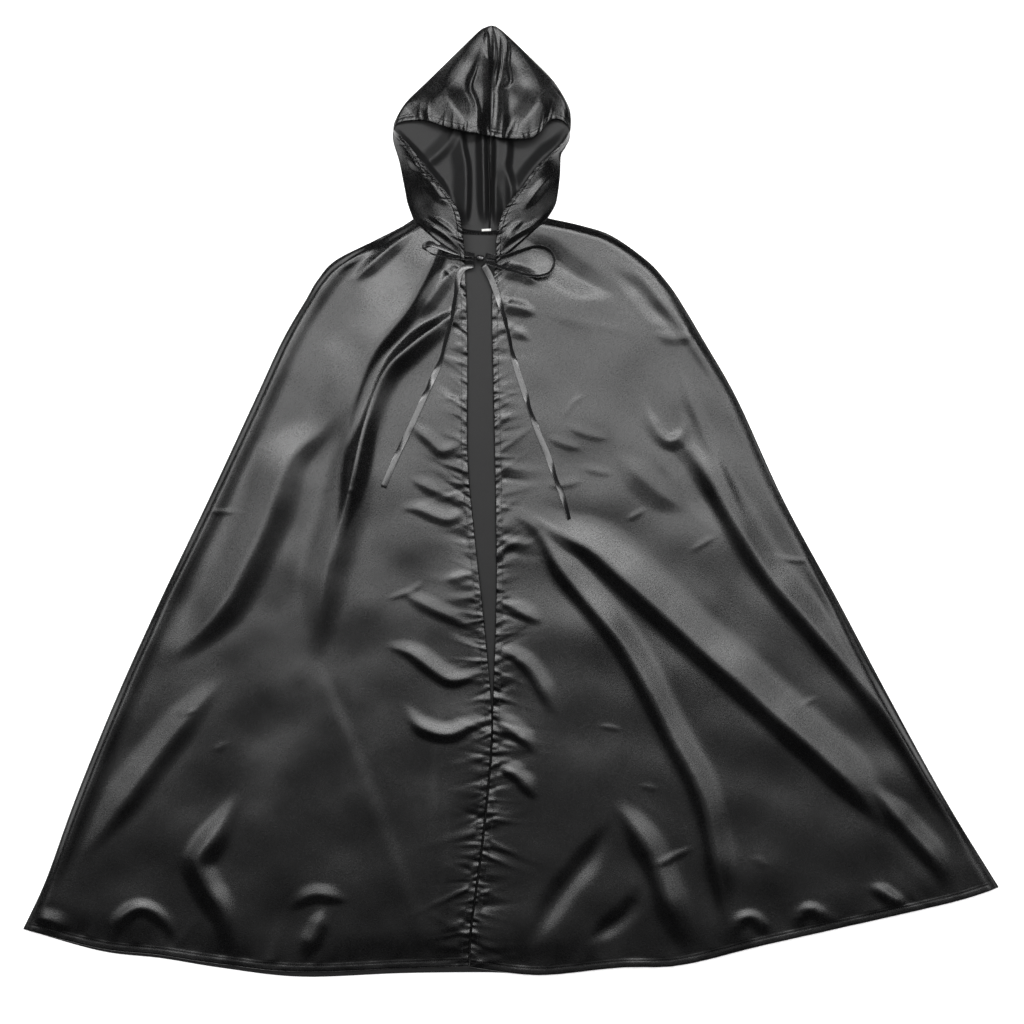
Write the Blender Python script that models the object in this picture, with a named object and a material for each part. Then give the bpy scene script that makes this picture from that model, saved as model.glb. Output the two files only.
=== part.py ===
"""Hooded satin cape, laid out flat on its back and tied at the neck with a ribbon bow.

Metres, +Z up. The table is z = 0, +Y runs up towards the tip of the hood, and the origin is the middle of
the back neck seam, on the underside of the back panel. Left and right are those of somebody looking down
at the cape. Each front panel is one piece of cloth that folds open along a slanting line, so it is made
here as a side part and a flap with a narrow gap between them.
"""
import math

import bmesh
import bpy
from mathutils import Vector

LEFT = -1
RIGHT = 1

# Layers, as heights above the table.
CLOTH = 0.0016
BACK_HEM_TOP = 0.0026
FRONT_LOW = 0.0078
FRONT_TOP = 0.0098
FRONT_HEM_LOW = 0.0068
RIBBON_LOW = 0.0102
RIBBON_THICK = 0.0012
LOOP_LOW = 0.0142

# Clearances and widths.
GAP = 0.0004
BAND_GAP = 0.0010
FOLD_GAP = 0.0010
RIBBON_FOLD_GAP = 0.0068
HEM_WIDTH = 0.012
SIDE_SEAM_WIDTH = 0.003
NECK_SEAM_WIDTH = 0.007
NECK_SEAM_THICK = 0.0012
RIBBON_WIDTH = 0.009
LOOP_WIDTH = 0.0045
LABEL_LOW = 0.0036
LABEL_THICK = 0.0006

# Silhouette of the body of the cape, from the neck down to the hem corners.
SIDE = {
    LEFT: [(-0.107, 0.0212), (-0.122, 0.011), (-0.167, -0.012), (-0.228, -0.043), (-0.256, -0.074),
           (-0.274, -0.105), (-0.310, -0.167), (-0.353, -0.260), (-0.425, -0.415), (-0.499, -0.570),
           (-0.569, -0.725), (-0.632, -0.880), (-0.677, -1.004), (-0.713, -1.082)],
    RIGHT: [(0.102, 0.0228), (0.155, 0.011), (0.202, -0.005), (0.256, -0.043), (0.285, -0.074),
            (0.307, -0.105), (0.344, -0.167), (0.397, -0.260), (0.468, -0.415), (0.552, -0.570),
            (0.634, -0.725), (0.719, -0.880), (0.803, -1.017)],
}
# Front edges, from the front neck point down to the hem. Below y = -0.73 they meet.
EDGE = {
    LEFT: [(-0.026, -0.047), (-0.022, -0.167), (-0.022, -0.344), (-0.012, -0.465), (0.002, -0.592),
           (0.0145, -0.733), (0.013, -0.808), (0.004, -0.908), (-0.004, -0.977), (-0.018, -1.080),
           (-0.021, -1.139)],
    RIGHT: [(0.022, -0.047), (0.015, -0.096), (0.017, -0.234), (0.020, -0.372), (0.022, -0.539),
            (0.019, -0.662), (0.0167, -0.733), (0.015, -0.808), (0.006, -0.908), (-0.002, -0.977),
            (-0.016, -1.080), (-0.019, -1.141)],
}
# Front hems, from the front edge out to the side.
FRONT_HEM = {
    LEFT: [(-0.021, -1.139), (-0.127, -1.143), (-0.282, -1.148), (-0.406, -1.136), (-0.499, -1.122),
           (-0.592, -1.112), (-0.713, -1.082)],
    RIGHT: [(-0.019, -1.141), (0.090, -1.153), (0.214, -1.141), (0.307, -1.138), (0.431, -1.108),
            (0.555, -1.080), (0.648, -1.059), (0.741, -1.037), (0.803, -1.017)],
}
# Back hem, left to right.
BACK_HEM = [(-0.713, -1.082), (-0.592, -1.116), (-0.499, -1.127), (-0.406, -1.142), (-0.282, -1.156),
            (-0.127, -1.1505), (-0.003, -1.149), (0.090, -1.150), (0.214, -1.138), (0.307, -1.134),
            (0.431, -1.105), (0.555, -1.077), (0.648, -1.056), (0.741, -1.034), (0.803, -1.017)]
BACK_NECK = [(-0.107, 0.0212), (0.010, 0.0122), (0.102, 0.0228)]
FRONT_NECK = {
    LEFT: [(-0.026, -0.047), (-0.067, -0.015), (-0.107, 0.0212)],
    RIGHT: [(0.022, -0.047), (0.062, -0.013), (0.102, 0.0228)],
}
# The line along which each front folds open: where it leaves the front edge, and a point at the hem.
FOLD = {
    LEFT: ((-0.0225, -0.100), (-0.690, -1.088)),
    RIGHT: ((0.0148, -0.100), (0.760, -1.030)),
}

# Hood. Each row is: height up the centre seam, silhouette point, end of the front layer, height there.
SEAM_X = 0.010
SEAM_WIDTH = 0.0024
HOOD_THICK = 0.0016
HOOD_BACK_Z = 0.0012
HOOD_HEM_WIDTH = 0.008
SEAM_THICK = 0.0018
TURN_RADIUS = 0.0055
BROW_CLEARANCE = 0.012  # share of the lowest crown row left open above the brow hem
BACK_COLUMNS = 7  # faces of a hood row that lie behind and round its side
BASE_ROWS = {
    LEFT: [(0.0470, (-0.1155, 0.047), (-0.0460, 0.047), 0.016),
           (0.0350, (-0.113, 0.036), (-0.0350, 0.020), 0.014),
           (0.0240, (-0.110, 0.029), (-0.0290, -0.012), 0.012),
           (0.0137, (-0.1067, 0.0228), (-0.0270, -0.0425), 0.0115)],
    RIGHT: [(0.0470, (0.1130, 0.047), (0.0450, 0.047), 0.016),
            (0.0350, (0.109, 0.036), (0.0310, 0.020), 0.014),
            (0.0240, (0.105, 0.030), (0.0240, -0.012), 0.012),
            (0.0137, (0.1018, 0.0244), (0.0232, -0.0425), 0.0115)],
}
SIDE_ROWS = {
    LEFT: [(0.052, (-0.117, 0.052), (-0.050, 0.052), 0.017), (0.078, (-0.122, 0.078), (-0.072, 0.078), 0.022),
           (0.112, (-0.129, 0.112), (-0.095, 0.112), 0.025), (0.144, (-0.136, 0.145), (-0.118, 0.143), 0.020)],
    RIGHT: [(0.052, (0.114, 0.052), (0.049, 0.052), 0.017), (0.078, (0.118, 0.078), (0.072, 0.078), 0.022),
            (0.112, (0.121, 0.112), (0.097, 0.107), 0.024), (0.144, (0.132, 0.144), (0.115, 0.127), 0.020)],
}
CROWN_ROWS = {
    LEFT: [(0.164, (-0.137, 0.164), (SEAM_X, 0.146), 0.040), (0.197, (-0.121, 0.197), (SEAM_X, 0.188), 0.035),
           (0.228, (-0.090, 0.228), (SEAM_X, 0.224), 0.029), (0.259, (-0.059, 0.259), (SEAM_X, 0.258), 0.023),
           (0.290, (-0.028, 0.290), (SEAM_X, 0.290), 0.017), (0.316, (0.000, 0.316), (SEAM_X, 0.316), 0.012)],
    RIGHT: [(0.164, (0.137, 0.164), (SEAM_X, 0.146), 0.040), (0.197, (0.136, 0.197), (SEAM_X, 0.188), 0.035),
            (0.228, (0.116, 0.228), (SEAM_X, 0.224), 0.029), (0.259, (0.087, 0.259), (SEAM_X, 0.258), 0.023),
            (0.290, (0.056, 0.290), (SEAM_X, 0.290), 0.017), (0.316, (0.020, 0.316), (SEAM_X, 0.316), 0.012)],
}

# Ribbon: centre lines, from the knot outwards.
KNOT_CENTRE = (-0.003, -0.041, 0.0144)
KNOT_SIZE = (0.016, 0.011, 0.0086)
STRAP = {
    LEFT: [(-0.0255, -0.0375), (-0.0114, -0.040)],
    RIGHT: [(0.0213, -0.0440), (0.0054, -0.042)],
}
LOOP = {
    LEFT: [(-0.0115, -0.0370), (-0.040, -0.0320), (-0.068, -0.0225), (-0.084, -0.0190), (-0.0905, -0.0255),
           (-0.080, -0.0325), (-0.055, -0.0385), (-0.0115, -0.0440)],
    RIGHT: [(0.0055, -0.0370), (0.030, -0.0400), (0.059, -0.0310), (0.084, -0.0240), (0.103, -0.0290),
            (0.112, -0.0450), (0.104, -0.0640), (0.078, -0.0690), (0.046, -0.0610), (0.0055, -0.0475)],
}
TAIL = {
    LEFT: [(-0.0120, -0.0515), (-0.0250, -0.0540), (-0.0345, -0.0640), (-0.0385, -0.080), (-0.0410, -0.098),
           (-0.0465, -0.132), (-0.057, -0.1705), (-0.066, -0.203), (-0.0806, -0.236), (-0.096, -0.270),
           (-0.113, -0.307), (-0.135, -0.353), (-0.153, -0.396)],
    RIGHT: [(0.002, -0.0510), (0.012, -0.068), (0.023, -0.0955), (0.039, -0.147), (0.050, -0.198),
            (0.068, -0.254), (0.084, -0.302), (0.101, -0.344), (0.115, -0.383), (0.128, -0.4185),
            (0.136, -0.445)],
}


def clear_scene():
    for item in list(bpy.data.objects):
        bpy.data.objects.remove(item, do_unlink=True)


def make_material(name, colour, roughness):
    material = bpy.data.materials.new(name)
    material.use_nodes = True
    shader = material.node_tree.nodes["Principled BSDF"]
    shader.inputs["Base Color"].default_value = (*colour, 1.0)
    shader.inputs["Roughness"].default_value = roughness
    return material


def new_object(name, mesh, material):
    mesh.materials.append(material)
    item = bpy.data.objects.new(name, mesh)
    bpy.context.scene.collection.objects.link(item)
    return item


def smooth(points, steps=3):
    """Points on a smooth curve through the given ones."""
    knots = [Vector(p) for p in points]
    first = knots[0] * 2 - knots[1]
    last = knots[-1] * 2 - knots[-2]
    knots = [first, *knots, last]
    curve = []
    for a, b, c, d in zip(knots, knots[1:], knots[2:], knots[3:]):
        for k in range(steps):
            t = k / steps
            curve.append(0.5 * ((2 * b) + (c - a) * t + (2 * a - 5 * b + 4 * c - d) * t * t
                                + (3 * b - a - 3 * c + d) * t ** 3))
    curve.append(knots[-2])
    return curve


def along(curve, t):
    """The point at fraction t of a curve's length."""
    lengths = [(b - a).length for a, b in zip(curve, curve[1:])]
    left = min(max(t, 0.0), 1.0) * sum(lengths)
    for (a, b), length in zip(zip(curve, curve[1:]), lengths):
        if left <= length:
            return a.lerp(b, left / length)
        left -= length
    return curve[-1].copy()


def spread(low, high, count):
    return [low + (high - low) * k / count for k in range(count + 1)]


class Patch:
    """A four-sided stretch of cloth: u runs from its inner edge to its outer edge, v from top to bottom."""

    def __init__(self, inner, outer, top, bottom):
        self.inner, self.outer, self.top, self.bottom = [smooth(c) for c in (inner, outer, top, bottom)]

    def at(self, u, v):
        corners = ((1 - u) * (1 - v) * self.inner[0] + u * (1 - v) * self.outer[0]
                   + (1 - u) * v * self.inner[-1] + u * v * self.outer[-1])
        across = (1 - v) * along(self.top, u) + v * along(self.bottom, u)
        down = (1 - u) * along(self.inner, v) + u * along(self.outer, v)
        return across + down - corners

    def inset_u(self, distance, v):
        return distance / (self.at(1, v) - self.at(0, v)).length

    def inset_v(self, distance, u):
        return distance / (self.at(u, 1) - self.at(u, 0)).length

    def region(self, inner, outer, bottom, count=24):
        """Outline of the patch, less the given widths along its inner, outer and bottom edges."""
        def u_in(v):
            return self.inset_u(inner, v)

        def u_out(v):
            return 1 - self.inset_u(outer, v)

        v_low = 1 - self.inset_v(bottom, 0.5)
        outline = [self.at(u_in(v), v * (1 - self.inset_v(bottom, 0))) for v in spread(0, 1, count)]
        for u in spread(u_in(v_low), u_out(v_low), count)[1:-1]:
            outline.append(self.at(u, 1 - self.inset_v(bottom, u)))
        outline += [self.at(u_out(v), v * (1 - self.inset_v(bottom, 1))) for v in reversed(spread(0, 1, count))]
        for u in reversed(spread(u_in(0), u_out(0), 4)[1:-1]):
            outline.append(self.at(u, 0))
        return outline

    def bottom_band(self, width, inner, outer, count=24):
        ends = spread(self.inset_u(inner, 1), 1 - self.inset_u(outer, 1), count)
        return ([self.at(u, 1) for u in ends]
                + [self.at(u, 1 - self.inset_v(width, u)) for u in reversed(ends)])

    def inner_band(self, width, count=24):
        steps = spread(0, 1, count)
        return [self.at(0, v) for v in steps] + [self.at(self.inset_u(width, v), v) for v in reversed(steps)]

    def outer_band(self, width, count=24):
        steps = spread(0, 1, count)
        return [self.at(1, v) for v in steps] + [self.at(1 - self.inset_u(width, v), v) for v in reversed(steps)]


def fold_normal(side):
    """Unit vector across the fold line, towards the flap."""
    start, end = [Vector(p) for p in FOLD[side]]
    way = (end - start).normalized()
    return Vector((-way.y, way.x)) * -side


def clip(outline, side, flap, gap=FOLD_GAP):
    """The part of an outline on one side of the fold line, less the gap."""
    start = Vector(FOLD[side][0])
    normal = fold_normal(side) * (1 if flap else -1)
    kept = []
    for a, b in zip(outline, outline[1:] + outline[:1]):
        da = (a - start).dot(normal) - gap
        db = (b - start).dot(normal) - gap
        if da >= 0:
            kept.append(a)
        if da * db < 0:
            kept.append(a.lerp(b, da / (da - db)))
    return kept


def signed_area(outline):
    return sum(a.x * b.y - b.x * a.y for a, b in zip(outline, outline[1:] + outline[:1])) / 2


def plate(name, outline, low, high, material):
    """A flat outline extruded upwards."""
    if signed_area(outline) < 0:
        outline = outline[::-1]
    bm = bmesh.new()
    face = bm.faces.new([bm.verts.new((p.x, p.y, low)) for p in outline])
    grown = bmesh.ops.extrude_face_region(bm, geom=[face])
    top = [v for v in grown["geom"] if isinstance(v, bmesh.types.BMVert)]
    bmesh.ops.translate(bm, verts=top, vec=(0, 0, high - low))
    bmesh.ops.remove_doubles(bm, verts=bm.verts, dist=0.00001)
    bmesh.ops.recalc_face_normals(bm, faces=bm.faces)
    mesh = bpy.data.meshes.new(name)
    bm.to_mesh(mesh)
    bm.free()
    return new_object(name, mesh, material)


def strip(points, width, steps=4):
    """Outline of a band of constant width along a centre line."""
    centre = smooth(points, steps)
    last = len(centre) - 1
    ways = [(centre[min(k + 1, last)] - centre[max(k - 1, 0)]).normalized() for k in range(last + 1)]
    edge = [(p, Vector((-w.y, w.x)) * width / 2) for p, w in zip(centre, ways)]
    return [p + n for p, n in edge] + [p - n for p, n in reversed(edge)]


def make_sheet(name, rows, thickness, material):
    """Rows of points joined into a sheet and thickened."""
    bm = bmesh.new()
    grid = [[bm.verts.new(p) for p in row] for row in rows]
    for lower, upper in zip(grid, grid[1:]):
        for k in range(len(lower) - 1):
            bm.faces.new((lower[k], lower[k + 1], upper[k + 1], upper[k]))
    mesh = bpy.data.meshes.new(name)
    bm.to_mesh(mesh)
    bm.free()
    return thicken(new_object(name, mesh, material), thickness)


def thicken(item, thickness):
    solid = item.modifiers.new("Thickness", "SOLIDIFY")
    solid.thickness = thickness
    solid.offset = 0
    solid.use_even_offset = False
    return item


def hood_row(side, row, front_from=0.0, front_to=1.0):
    """Points of one hood row: from the centre seam along the back, round the side and over the front."""
    seam_y, silhouette, end, height = row
    sx, sy = silhouette
    start_x = SEAM_X + side * (SEAM_WIDTH / 2 + 2 * GAP)
    radius = min(TURN_RADIUS, abs(sx - start_x) * 0.35)
    turn_x = sx - side * radius
    back = [Vector((start_x + (turn_x - start_x) * t, seam_y + (sy - seam_y) * t, HOOD_BACK_Z))
            for t in spread(0, 1, 4)]
    turn = []
    for angle in (-45, 0, 45):
        a = math.radians(angle)
        turn.append(Vector((turn_x + side * radius * math.cos(a), sy, HOOD_BACK_Z + radius * (1 + math.sin(a)))))
    return back + turn + hood_front(side, row, front_from, front_to)


def hood_front(side, row, low, high, count=5):
    """Points of the front layer of one hood row, over a part of its run from the side to its end."""
    seam_y, silhouette, end, height = row
    sx, sy = silhouette
    start_x = SEAM_X + side * (SEAM_WIDTH / 2 + 2 * GAP)
    radius = min(TURN_RADIUS, abs(sx - start_x) * 0.35)
    top = Vector((sx - side * radius, sy, HOOD_BACK_Z + 2 * radius))
    end_x = start_x if abs(end[0] - SEAM_X) < 0.001 else end[0]
    last = Vector((end_x, end[1], height))
    points = []
    for t in spread(low, high, count):
        point = top.lerp(last, t)
        ease = t * t * (3 - 2 * t)
        point.z = top.z + (last.z - top.z) * ease
        points.append(point)
    return points


def front_share(side, row, distance):
    """The share of a hood row's front layer that a distance makes."""
    points = hood_front(side, row, 0.0, 1.0)
    return distance / (points[-1] - points[0]).length


def side_hem_rows(side, rows):
    return [hood_front(side, row, 1 - front_share(side, row, HOOD_HEM_WIDTH), 1.0, 2) for row in rows]


def blend_rows(low, high, share):
    """A hood row between two others."""
    def mix(a, b):
        return a + (b - a) * share
    return (mix(low[0], high[0]), (mix(low[1][0], high[1][0]), mix(low[1][1], high[1][1])),
            (mix(low[2][0], high[2][0]), mix(low[2][1], high[2][1])), mix(low[3], high[3]))


def make_hood_half(side, name, satin):
    """One hood panel: its back and crown, and the side that hangs down beside the face."""
    bm = bmesh.new()
    brow_share = HOOD_HEM_WIDTH / (CROWN_ROWS[side][1][2][1] - CROWN_ROWS[side][0][2][1])
    first_crown = blend_rows(CROWN_ROWS[side][0], CROWN_ROWS[side][1], brow_share + BROW_CLEARANCE)
    crown = [first_crown] + CROWN_ROWS[side][1:]
    lower = []
    for row in SIDE_ROWS[side]:
        lower.append(hood_row(side, row, 0.0, 1 - front_share(side, row, HOOD_HEM_WIDTH + BAND_GAP * 2)))
    upper = [hood_row(side, row) for row in crown]
    grid = [[bm.verts.new(p) for p in row] for row in lower + upper]
    for k, (low, high) in enumerate(zip(grid, grid[1:])):
        columns = BACK_COLUMNS if k == len(lower) - 1 else len(low) - 1
        for c in range(columns):
            quad = (low[c], low[c + 1], high[c + 1], high[c])
            bm.faces.new(quad if side == RIGHT else quad[::-1])
    mesh = bpy.data.meshes.new(name)
    bm.to_mesh(mesh)
    bm.free()
    return thicken(new_object(name, mesh, satin), HOOD_THICK)


def make_crown_seam(thread):
    """The ridge of turned cloth down the middle of the hood: over the crown and down the back."""
    crown = [Vector((row[2][1], row[3])) for row in CROWN_ROWS[LEFT]]
    back_z = HOOD_BACK_Z
    tip_y = crown[-1].x
    turn = [Vector((tip_y + 0.0042, 0.0090)), Vector((tip_y + 0.0042, 0.0038))]
    back = [Vector((tip_y, back_z)), Vector((0.190, back_z)), Vector((0.052, back_z))]
    line = crown + turn + back
    ways = [(line[min(k + 1, len(line) - 1)] - line[max(k - 1, 0)]).normalized() for k in range(len(line))]
    edge = [(p, Vector((-w.y, w.x)) * SEAM_THICK / 2) for p, w in zip(line, ways)]
    outline = [p + n for p, n in edge] + [p - n for p, n in reversed(edge)]
    bm = bmesh.new()
    face = bm.faces.new([bm.verts.new((SEAM_X - SEAM_WIDTH / 2, p.x, p.y)) for p in outline])
    grown = bmesh.ops.extrude_face_region(bm, geom=[face])
    moved = [v for v in grown["geom"] if isinstance(v, bmesh.types.BMVert)]
    bmesh.ops.translate(bm, verts=moved, vec=(SEAM_WIDTH, 0, 0))
    bmesh.ops.recalc_face_normals(bm, faces=bm.faces)
    mesh = bpy.data.meshes.new("hood_crown_seam")
    bm.to_mesh(mesh)
    bm.free()
    return new_object("hood_crown_seam", mesh, thread)


def make_brow_hem(side, name, satin):
    """The hem along the brow, one half."""
    low, high = CROWN_ROWS[side][:2]
    share = HOOD_HEM_WIDTH / (high[2][1] - low[2][1])
    rows = []
    for part in (0.0, share / 2, share):
        rows.append(hood_front(side, blend_rows(low, high, part), 0.0, 1.0, 6))
    if side == LEFT:
        rows = [row[::-1] for row in rows]
    return make_sheet(name, rows, HOOD_THICK, satin)


def make_hood(satin, thread):
    for side, word in ((LEFT, "left"), (RIGHT, "right")):
        make_hood_half(side, f"hood_panel_{word}", satin)
        make_brow_hem(side, f"hood_brow_hem_{word}", satin)
        rows = side_hem_rows(side, SIDE_ROWS[side])
        if side == LEFT:
            rows = [row[::-1] for row in rows]
        make_sheet(f"hood_face_hem_{word}", rows, HOOD_THICK, satin)
    make_crown_seam(thread)


def make_hood_bases(satin):
    """The gathered foot of each hood panel, sewn to the neck, which stays put when the hood folds."""
    for side, word in ((LEFT, "left"), (RIGHT, "right")):
        rows = [hood_row(side, row) for row in reversed(BASE_ROWS[side])]
        if side == LEFT:
            rows = [row[::-1] for row in rows]
        make_sheet(f"hood_gather_{word}", rows, HOOD_THICK, satin)


def make_back(satin, reverse):
    patch = Patch(SIDE[LEFT], SIDE[RIGHT], BACK_NECK, BACK_HEM)
    plate("back_panel", patch.region(0.0, 0.0, HEM_WIDTH + BAND_GAP), 0.0, CLOTH, reverse)
    plate("back_hem", patch.bottom_band(HEM_WIDTH, 0.0, 0.0), 0.0, BACK_HEM_TOP, satin)


def make_front(side, word, satin):
    """One front: side part and flap, each with its hem, the front edge band and the side seam."""
    patch = Patch(EDGE[side], SIDE[side], FRONT_NECK[side], FRONT_HEM[side])
    panel = patch.region(HEM_WIDTH + BAND_GAP, SIDE_SEAM_WIDTH + BAND_GAP, HEM_WIDTH + BAND_GAP)
    hem = patch.bottom_band(HEM_WIDTH, HEM_WIDTH + BAND_GAP, SIDE_SEAM_WIDTH + BAND_GAP)
    band = patch.inner_band(HEM_WIDTH)
    for piece, flap in (("side", False), ("flap", True)):
        plate(f"front_{word}_{piece}", clip(panel, side, flap), FRONT_LOW, FRONT_TOP, satin)
        plate(f"front_hem_{word}_{piece}", clip(hem, side, flap), FRONT_HEM_LOW, FRONT_TOP, satin)
    plate(f"edge_band_{word}_top", clip(band, side, False), FRONT_HEM_LOW, FRONT_TOP, satin)
    plate(f"edge_band_{word}", clip(band, side, True), FRONT_HEM_LOW, FRONT_TOP, satin)
    plate(f"side_seam_{word}", patch.outer_band(SIDE_SEAM_WIDTH), BACK_HEM_TOP + GAP, FRONT_TOP, satin)


def make_neck(satin, label):
    """The bound seam across the back of the neck, and the blank label sewn into it."""
    line = [(-0.088, 0.0090), (-0.045, 0.0020), (0.007, -0.0010), (0.045, 0.0025), (0.084, 0.0100)]
    low = CLOTH + GAP
    plate("neck_seam", strip(line, NECK_SEAM_WIDTH), low, low + NECK_SEAM_THICK, satin)
    corners = [(0.0000, -0.0010), (0.0140, -0.0010), (0.0140, 0.0040), (0.0000, 0.0040)]
    plate("neck_label", [Vector(c) for c in corners], LABEL_LOW, LABEL_LOW + LABEL_THICK, label)


def make_knot(ribbon):
    bm = bmesh.new()
    bmesh.ops.create_cube(bm, size=1.0)
    bmesh.ops.scale(bm, vec=KNOT_SIZE, verts=bm.verts)
    mesh = bpy.data.meshes.new("bow_knot")
    bm.to_mesh(mesh)
    bm.free()
    knot = new_object("bow_knot", mesh, ribbon)
    knot.location = KNOT_CENTRE
    bevel = knot.modifiers.new("Round", "BEVEL")
    bevel.width = 0.0024
    bevel.segments = 2


def make_bow(side, word, ribbon):
    """One ribbon: the end sewn to the neck, its loop, and its tail, parted at the fold line."""
    top = RIBBON_LOW + RIBBON_THICK
    loop = strip(LOOP[side], LOOP_WIDTH, 5)
    tail = strip(TAIL[side], RIBBON_WIDTH, 4)
    plate(f"ribbon_end_{word}", strip(STRAP[side], RIBBON_WIDTH, 1), RIBBON_LOW, top, ribbon)
    plate(f"bow_loop_{word}", loop, LOOP_LOW, LOOP_LOW + RIBBON_THICK, ribbon)
    plate(f"bow_tail_{word}_top", clip(tail, side, False, RIBBON_FOLD_GAP), RIBBON_LOW, top, ribbon)
    plate(f"bow_tail_{word}", clip(tail, side, True, RIBBON_FOLD_GAP), RIBBON_LOW, top, ribbon)


def main():
    clear_scene()
    satin = make_material("satin", (0.018, 0.018, 0.020), 0.36)
    reverse = make_material("satin_reverse", (0.045, 0.045, 0.047), 0.75)
    ribbon = make_material("ribbon", (0.030, 0.030, 0.032), 0.30)
    label = make_material("label", (0.80, 0.80, 0.78), 0.60)
    thread = make_material("thread", (0.015, 0.015, 0.016), 0.70)
    make_back(satin, reverse)
    for side, word in ((LEFT, "left"), (RIGHT, "right")):
        make_front(side, word, satin)
        make_bow(side, word, ribbon)
    make_neck(satin, label)
    make_knot(ribbon)
    make_hood(satin, thread)
    make_hood_bases(satin)


main()
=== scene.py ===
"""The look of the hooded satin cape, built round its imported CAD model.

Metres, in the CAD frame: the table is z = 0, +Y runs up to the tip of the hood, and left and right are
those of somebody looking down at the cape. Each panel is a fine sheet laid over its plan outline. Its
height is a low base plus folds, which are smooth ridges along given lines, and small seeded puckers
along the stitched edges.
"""
import math

import bpy
import numpy as np
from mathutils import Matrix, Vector

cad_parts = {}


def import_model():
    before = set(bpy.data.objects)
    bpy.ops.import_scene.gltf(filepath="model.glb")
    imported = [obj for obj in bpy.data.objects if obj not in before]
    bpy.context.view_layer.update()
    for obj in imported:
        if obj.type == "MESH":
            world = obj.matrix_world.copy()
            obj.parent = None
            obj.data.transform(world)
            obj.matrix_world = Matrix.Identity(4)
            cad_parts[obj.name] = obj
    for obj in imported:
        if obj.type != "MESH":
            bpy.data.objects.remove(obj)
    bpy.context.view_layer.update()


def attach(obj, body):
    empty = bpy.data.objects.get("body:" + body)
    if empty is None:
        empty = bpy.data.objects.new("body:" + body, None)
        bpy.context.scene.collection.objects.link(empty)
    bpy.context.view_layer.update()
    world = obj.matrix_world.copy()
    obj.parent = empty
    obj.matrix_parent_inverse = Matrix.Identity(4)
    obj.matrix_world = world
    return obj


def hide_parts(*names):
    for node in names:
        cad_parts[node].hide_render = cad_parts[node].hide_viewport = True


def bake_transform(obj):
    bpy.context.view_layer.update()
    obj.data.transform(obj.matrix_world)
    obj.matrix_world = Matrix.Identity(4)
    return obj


LEFT = -1
RIGHT = 1
WORDS = {LEFT: "left", RIGHT: "right"}
MM = 0.001

# Cloth: its thickness, the height that each part of it lies at, and its turned hems.
CLOTH = 0.0006
BACK_LEVEL = 0.0014
BACK_HEM_RISE = 0.0012
LEAST_GAP = 0.0001
FRONT_EDGE_LEVEL = 0.0022
FRONT_LEVEL = 0.0080
FRONT_EDGE_DROP = 0.0015
FRONT_EDGE_SLOPE = 0.05
FRONT_HEM_DROP = 0.0020
FRONT_HEM_SLOPE = 0.06
FRONT_SIDE_ROLL = 0.016
SIDE_FOLD_SHARE = 0.25
INSIDE_LEVEL = 0.0026
INSIDE_RISE = 0.0016
HOOD_SIDE_LEVEL = 0.0040
HOOD_SIDE_RISE = 0.0145
HOOD_SIDE_ROLL = 0.011
CROWN_LEVEL = 0.0045
CROWN_TIP_RISE = 0.006
CROWN_BROW_RISE = 0.019
HEM_WIDTH = 0.012
BROW_HEM_WIDTH = 0.009
HEM_STEP = 0.0006
HEM_ROUNDING = 0.0007
HEM_PULL = 0.0006
HEM_GROOVE_INSET = 0.0018
HEM_GROOVE_WIDTH = 0.0012
FACE_HEM_PULL = 0.0012

# Ribbon, tapes and stitches. A size is a width and a thickness; a lift is how far it lies off its cloth.
RIBBON_WIDTH = 0.0095
RIBBON_THICKNESS = 0.0005
RIBBON_CROWN = 0.0004
RIBBON_LIFT = 0.0013
STRAP_WIDTH = 0.0060
STRAP_LEVEL = 0.0135
LABEL_WIDTH = 0.0036
BINDING_SIZE = (0.0046, 0.0010)
CROWN_SEAM_SIZE = (0.0016, 0.0004)
CROWN_SEAM_LIFT = 0.0003
INSIDE_SEAM_SIZE = (0.0055, 0.0009)
INSIDE_SEAM_LIFT = 0.0014
STITCH_LINE = 0.0102
STITCH_PITCH = 0.0032
CROWN_STITCH_PITCH = 0.0026
STITCH_SIZE = (0.0022, 0.0005, 0.0004)
STITCH_LIFT = (0, 0, 0.0003)
HEM_STITCH_LIFT = (0, 0, 0.0002)

# Plan outlines, as in the CAD source.
SIDE = {
    LEFT: [(-0.107, 0.0212), (-0.122, 0.011), (-0.167, -0.012), (-0.228, -0.043), (-0.256, -0.074),
           (-0.274, -0.105), (-0.310, -0.167), (-0.353, -0.260), (-0.425, -0.415), (-0.499, -0.570),
           (-0.569, -0.725), (-0.632, -0.880), (-0.677, -1.004), (-0.713, -1.082)],
    RIGHT: [(0.102, 0.0228), (0.155, 0.011), (0.202, -0.005), (0.256, -0.043), (0.285, -0.074),
            (0.307, -0.105), (0.344, -0.167), (0.397, -0.260), (0.468, -0.415), (0.552, -0.570),
            (0.634, -0.725), (0.719, -0.880), (0.803, -1.017)],
}
EDGE = {
    LEFT: [(-0.026, -0.047), (-0.022, -0.167), (-0.022, -0.344), (-0.012, -0.465), (0.002, -0.592),
           (0.0145, -0.733), (0.013, -0.808), (0.004, -0.908), (-0.004, -0.977), (-0.018, -1.080),
           (-0.021, -1.139)],
    RIGHT: [(0.022, -0.047), (0.015, -0.096), (0.017, -0.234), (0.020, -0.372), (0.022, -0.539),
            (0.019, -0.662), (0.0167, -0.733), (0.015, -0.808), (0.006, -0.908), (-0.002, -0.977),
            (-0.016, -1.080), (-0.019, -1.141)],
}
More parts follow.
